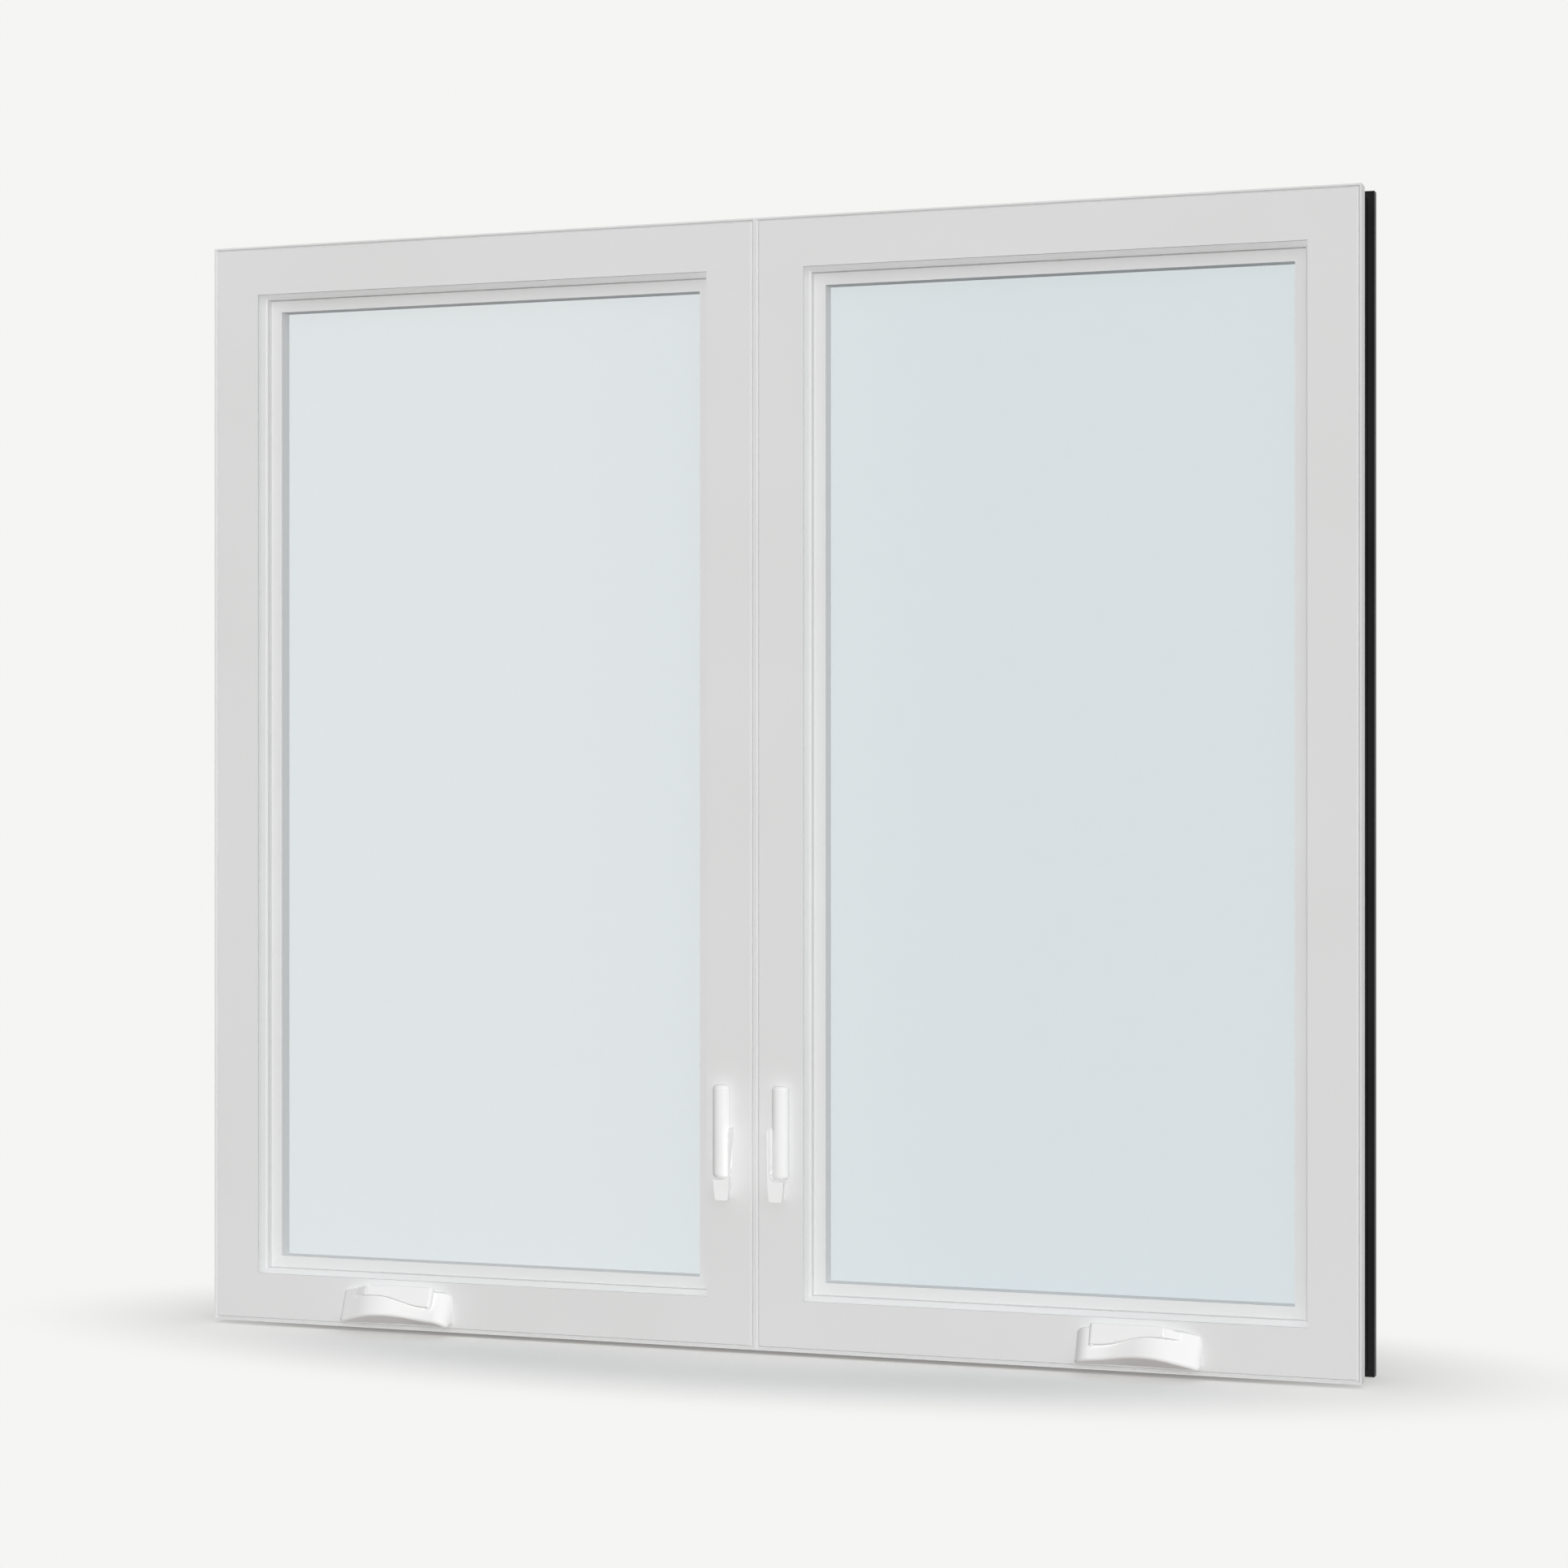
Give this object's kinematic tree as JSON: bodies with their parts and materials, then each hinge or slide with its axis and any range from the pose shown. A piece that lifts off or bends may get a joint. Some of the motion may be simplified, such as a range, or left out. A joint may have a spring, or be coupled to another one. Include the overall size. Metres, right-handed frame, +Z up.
{
  "type": "double casement window",
  "caption": "Twin casement window with white room-side frame and sashes, dark outside, sealed glass, folding crank operators on the sill and sash lock levers at the middle.",
  "frame": {"origin": "on the wall face of the outside flange, at the middle of the window, level with the underside of the white frame", "axes": "+X to the right seen from the room, +Y from the room to the outside, +Z up"},
  "size_m": [1.287, 0.1149, 1.207],
  "materials": {
    "liner_white": "satin white",
    "sash_white": "satin white",
    "hardware_white": "semi-gloss white",
    "exterior_black": "satin black",
    "glass_clear": "clear",
    "spacer_grey": "matt",
    "seal_grey": "matt"
  },
  "bodies": {
    "window": {"exterior_head": "exterior_black", "exterior_sill": "exterior_black", "exterior_left_jamb": "exterior_black", "exterior_right_jamb": "exterior_black", "exterior_mullion": "exterior_black", "mullion_cover": "exterior_black", "left_frame_head": "liner_white", "left_frame_sill": "liner_white", "left_frame_hinge_jamb": "liner_white", "left_frame_lock_jamb": "liner_white", "left_sash_top_rail": "sash_white", "left_sash_bottom_rail": "sash_white", "left_sash_hinge_stile": "sash_white", "left_sash_lock_stile": "sash_white", "left_sash_outer_rails": "exterior_black", "left_sash_outer_stiles": "exterior_black", "left_inner_pane": "glass_clear", "left_outer_pane": "glass_clear", "left_glass_spacer": "spacer_grey", "left_weatherstrip": "seal_grey", "left_operator_cover": "hardware_white", "left_crank_hub": "hardware_white", "left_lock_base": "hardware_white", "right_frame_head": "liner_white", "right_frame_sill": "liner_white", "right_frame_hinge_jamb": "liner_white", "right_frame_lock_jamb": "liner_white", "right_sash_top_rail": "sash_white", "right_sash_bottom_rail": "sash_white", "right_sash_hinge_stile": "sash_white", "right_sash_lock_stile": "sash_white", "right_sash_outer_rails": "exterior_black", "right_sash_outer_stiles": "exterior_black", "right_inner_pane": "glass_clear", "right_outer_pane": "glass_clear", "right_glass_spacer": "spacer_grey", "right_weatherstrip": "seal_grey", "right_operator_cover": "hardware_white", "right_crank_hub": "hardware_white", "right_lock_base": "hardware_white"},
    "left_handle": {"left_crank_handle": "hardware_white"},
    "left_lever": {"left_lock_lever": "hardware_white"},
    "right_handle": {"right_crank_handle": "hardware_white"},
    "right_lever": {"right_lock_lever": "hardware_white"}
  },
  "joints": [
    {"name": "left_handle_fold", "type": "hinge", "parent": "window", "child": "left_handle", "pos_m": [-0.4422, -0.08487, 0.04523], "axis": [0, -0.4067, -0.9135], "range_deg": [0, 100]},
    {"name": "left_lever_swing", "type": "hinge", "parent": "window", "child": "left_lever", "pos_m": [-0.033, -0.079, 0.1905], "axis": [1, 0, 0], "range_deg": [0, 90]},
    {"name": "right_handle_fold", "type": "hinge", "parent": "window", "child": "right_handle", "pos_m": [0.4422, -0.08487, 0.04523], "axis": [0, 0.4067, 0.9135], "range_deg": [0, 100]},
    {"name": "right_lever_swing", "type": "hinge", "parent": "window", "child": "right_lever", "pos_m": [0.033, -0.079, 0.1905], "axis": [1, 0, 0], "range_deg": [0, 90]}
  ]
}
